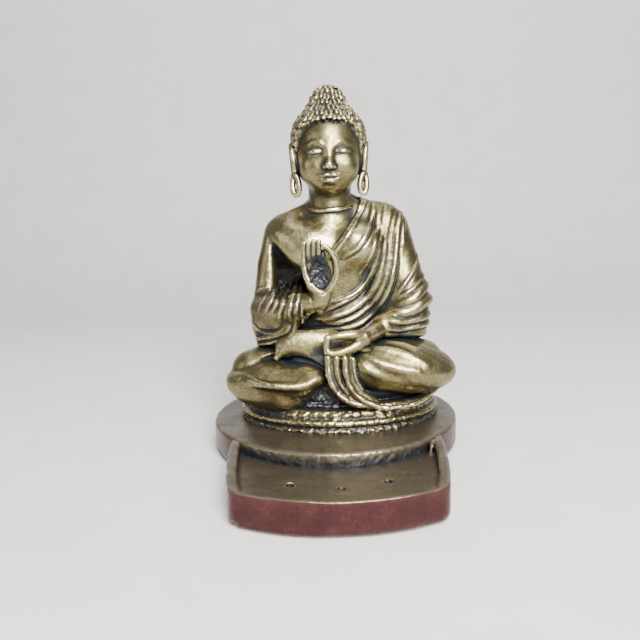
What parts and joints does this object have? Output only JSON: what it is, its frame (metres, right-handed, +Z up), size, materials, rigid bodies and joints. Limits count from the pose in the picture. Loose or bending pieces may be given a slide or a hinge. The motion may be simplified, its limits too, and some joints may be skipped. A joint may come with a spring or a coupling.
{
  "type": "buddha statue incense holder",
  "caption": "Seated robed figure with one hand raised, on a round plinth with a shallow front tray that holds incense sticks.",
  "frame": {"origin": "on the ground, under the centre of the round plinth, on the underside of the base felt", "axes": "+Z up, the figure and the tray face -Y, +X towards the figure's left hand"},
  "size_m": [0.1056, 0.1455, 0.1527],
  "materials": {
    "plinth": "satin",
    "incense_tray": "satin",
    "lotus_seat": "satin",
    "crossed_legs": "satin",
    "torso": "satin",
    "head": "satin",
    "right_hand": "satin",
    "left_hand": "satin",
    "tray_dowels": "matte",
    "neck_dowel": "matte",
    "waist_dowels": "matte",
    "wrist_dowels": "matte",
    "base_screw": "satin",
    "base_washer": "satin",
    "threaded_insert": "satin",
    "base_felt": "matte"
  },
  "bodies": {
    "root": {"plinth": "plinth", "incense_tray": "incense_tray", "lotus_seat": "lotus_seat", "crossed_legs": "crossed_legs", "torso": "torso", "head": "head", "right_hand": "right_hand", "left_hand": "left_hand", "tray_dowels": "tray_dowels", "neck_dowel": "neck_dowel", "waist_dowels": "waist_dowels", "wrist_dowels": "wrist_dowels", "base_screw": "base_screw", "base_washer": "base_washer", "threaded_insert": "threaded_insert", "base_felt": "base_felt"}
  },
  "joints": []
}
